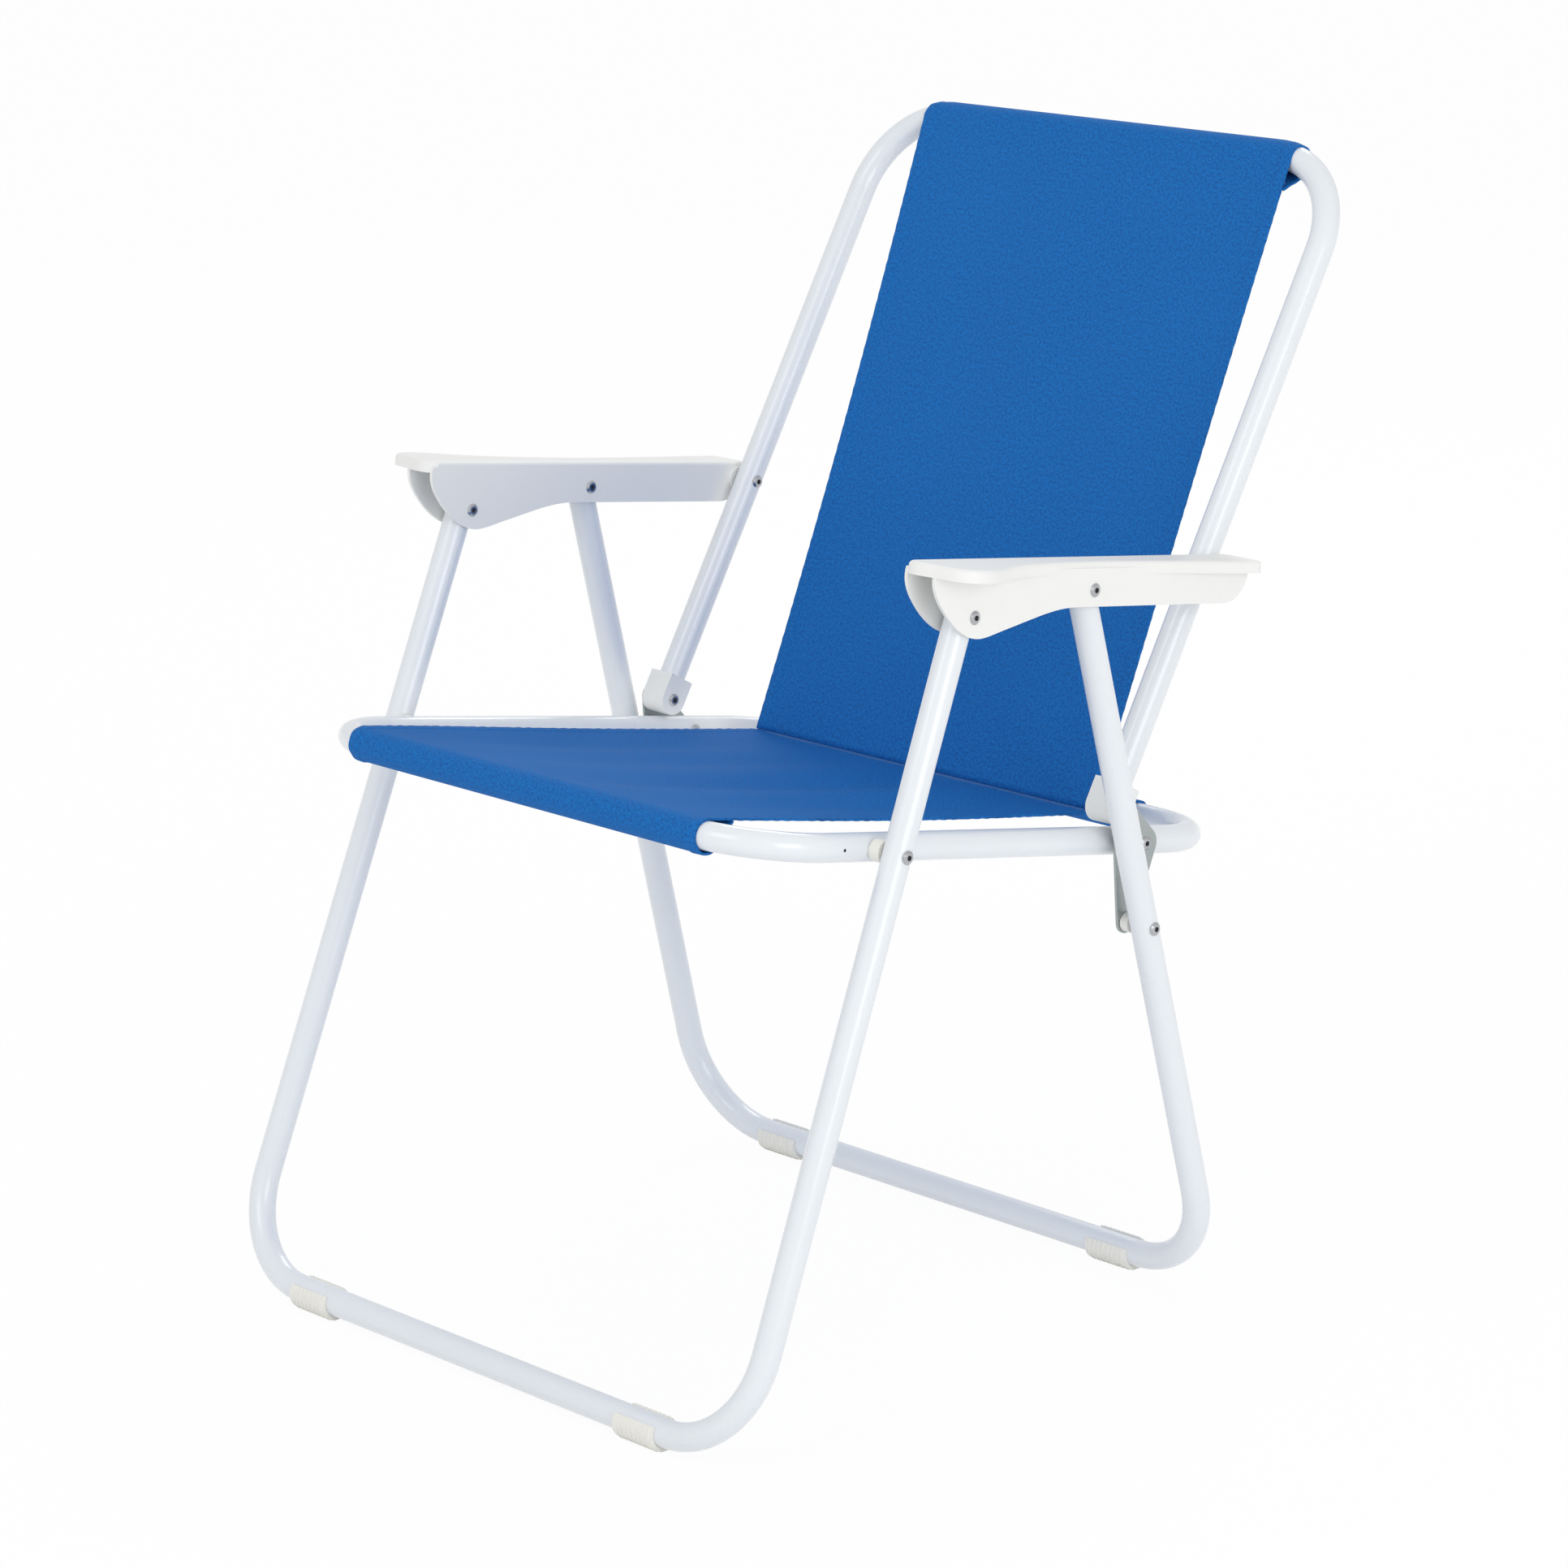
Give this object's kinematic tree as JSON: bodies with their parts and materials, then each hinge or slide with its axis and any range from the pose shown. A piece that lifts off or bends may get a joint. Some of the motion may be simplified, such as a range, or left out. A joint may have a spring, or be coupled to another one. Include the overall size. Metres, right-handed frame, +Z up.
{
  "type": "folding camp chair",
  "caption": "Folding low-back camp chair: bent steel tube leg frames, seat loop and back hoop with moulded armrests, link plates and a stretched cloth seat and back.",
  "frame": {"origin": "on the floor, under the middle of the bounding box", "axes": "+Z up, -Y the way the sitter faces, +X the sitter's left"},
  "size_m": [0.5754, 0.6502, 0.7636],
  "materials": {
    "tube": "gloss",
    "armrest": "satin",
    "foot_clip": "satin",
    "spacer": "satin",
    "end_cap": "satin",
    "link_plate": "zinc plated",
    "rivet": "polished",
    "cloth": "woven oxford"
  },
  "bodies": {
    "front_legs": {"front_leg_frame": "tube", "foot_clip_front_left": "foot_clip", "foot_clip_front_right": "foot_clip", "arm_front_rivet_left": "rivet", "seat_rivet_left": "rivet", "seat_spacer_left": "spacer", "arm_front_rivet_right": "rivet", "seat_rivet_right": "rivet", "seat_spacer_right": "spacer"},
    "seat": {"seat_frame": "tube", "seat_sling": "cloth", "link_rail_rivet_left": "rivet", "link_rail_rivet_right": "rivet"},
    "back": {"back_frame": "tube", "back_end_cap_left": "end_cap", "arm_rear_rivet_left": "rivet", "back_end_cap_right": "end_cap", "arm_rear_rivet_right": "rivet"},
    "back_cloth": {"back_sling": "cloth"},
    "rear_legs": {"rear_leg_frame": "tube", "foot_clip_rear_left": "foot_clip", "foot_clip_rear_right": "foot_clip", "rear_leg_rivet_left": "rivet", "rear_leg_spacer_left": "spacer", "rear_leg_rivet_right": "rivet", "rear_leg_spacer_right": "spacer"},
    "link_left": {"link_plate_left": "link_plate", "back_rivet_left": "rivet", "link_low_tail_left": "rivet"},
    "armrest_left": {"armrest_left": "armrest", "arm_middle_rivet_left": "rivet"},
    "link_right": {"link_plate_right": "link_plate", "back_rivet_right": "rivet", "link_low_tail_right": "rivet"},
    "armrest_right": {"armrest_right": "armrest", "arm_middle_rivet_right": "rivet"}
  },
  "joints": [
    {"name": "seat_fold", "type": "hinge", "parent": "front_legs", "child": "seat", "pos_m": [0, -0.15569, 0.374], "axis": [1, 0, 0], "range_deg": [-90, 0]},
    {"name": "link_left_turn", "type": "hinge", "parent": "seat", "child": "link_left", "pos_m": [0, 0.08954, 0.32544], "axis": [1, 0, 0], "range_deg": [-80, 0]},
    {"name": "link_right_turn", "type": "hinge", "parent": "seat", "child": "link_right", "pos_m": [0, 0.08954, 0.32544], "axis": [1, 0, 0], "range_deg": [-80, 0]},
    {"name": "back_fold", "type": "hinge", "parent": "link_left", "child": "back", "pos_m": [0, 0.06817, 0.35292], "axis": [1, 0, 0], "range_deg": [0, 182]},
    {"name": "back_cloth_turn", "type": "hinge", "parent": "back", "child": "back_cloth", "pos_m": [0, 0.31392, 0.75238], "axis": [1, 0, 0], "range_deg": [-9, 0]},
    {"name": "armrest_left_fold", "type": "hinge", "parent": "front_legs", "child": "armrest_left", "pos_m": [0, -0.09302, 0.518], "axis": [1, 0, 0], "range_deg": [-93, 0]},
    {"name": "armrest_right_fold", "type": "hinge", "parent": "front_legs", "child": "armrest_right", "pos_m": [0, -0.09302, 0.518], "axis": [1, 0, 0], "range_deg": [-93, 0]},
    {"name": "rear_legs_fold", "type": "hinge", "parent": "armrest_left", "child": "rear_legs", "pos_m": [0, 0.01698, 0.516], "axis": [1, 0, 0], "range_deg": [0, 58]}
  ],
  "couplings": [
    {"joint": "link_left_turn", "follows": "seat_fold", "ratio": 0.8803},
    {"joint": "link_right_turn", "follows": "seat_fold", "ratio": 0.8803},
    {"joint": "back_fold", "follows": "seat_fold", "ratio": -2.0087},
    {"joint": "back_cloth_turn", "follows": "seat_fold", "ratio": 0.08892},
    {"joint": "armrest_left_fold", "follows": "seat_fold", "ratio": 1.0192},
    {"joint": "armrest_right_fold", "follows": "seat_fold", "ratio": 1.0192},
    {"joint": "rear_legs_fold", "follows": "seat_fold", "ratio": -0.62844}
  ]
}
